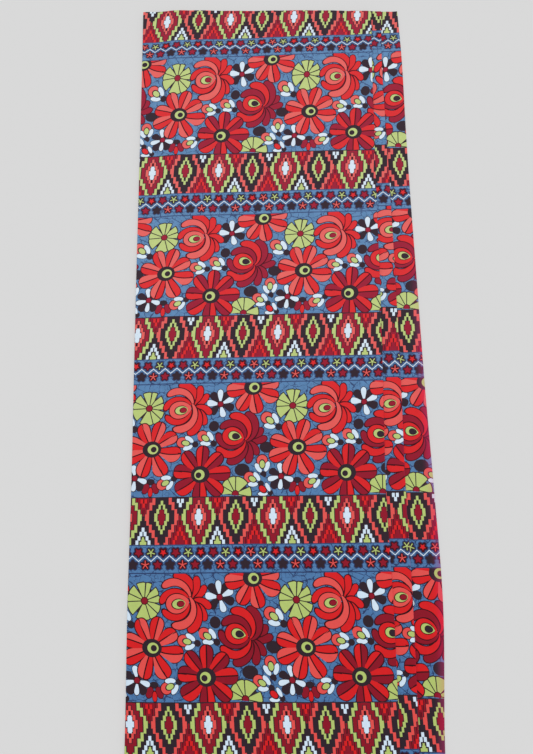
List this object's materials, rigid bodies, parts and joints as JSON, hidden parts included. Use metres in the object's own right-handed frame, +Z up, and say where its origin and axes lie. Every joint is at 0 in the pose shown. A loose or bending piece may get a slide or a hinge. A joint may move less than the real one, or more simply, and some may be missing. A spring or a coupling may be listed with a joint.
{
  "type": "folded ankara fabric",
  "caption": "Length of wax-printed cotton cloth, folded lengthwise in flat layers and laid on a surface, with stepped folds along one side.",
  "frame": {"origin": "on the surface that the cloth lies on, under the middle of its box", "axes": "+Z up, +Y along the folded cloth towards its far cut end, +X across it towards the stepped folds"},
  "size_m": [0.2832, 0.914, 0.0067],
  "materials": {
    "printed_cotton": "plain-weave cotton with a slight wax sheen, printed in red, coral, crimson, lime, blue, near-black and white"
  },
  "bodies": {
    "root": {"cloth": "printed_cotton"}
  },
  "joints": []
}
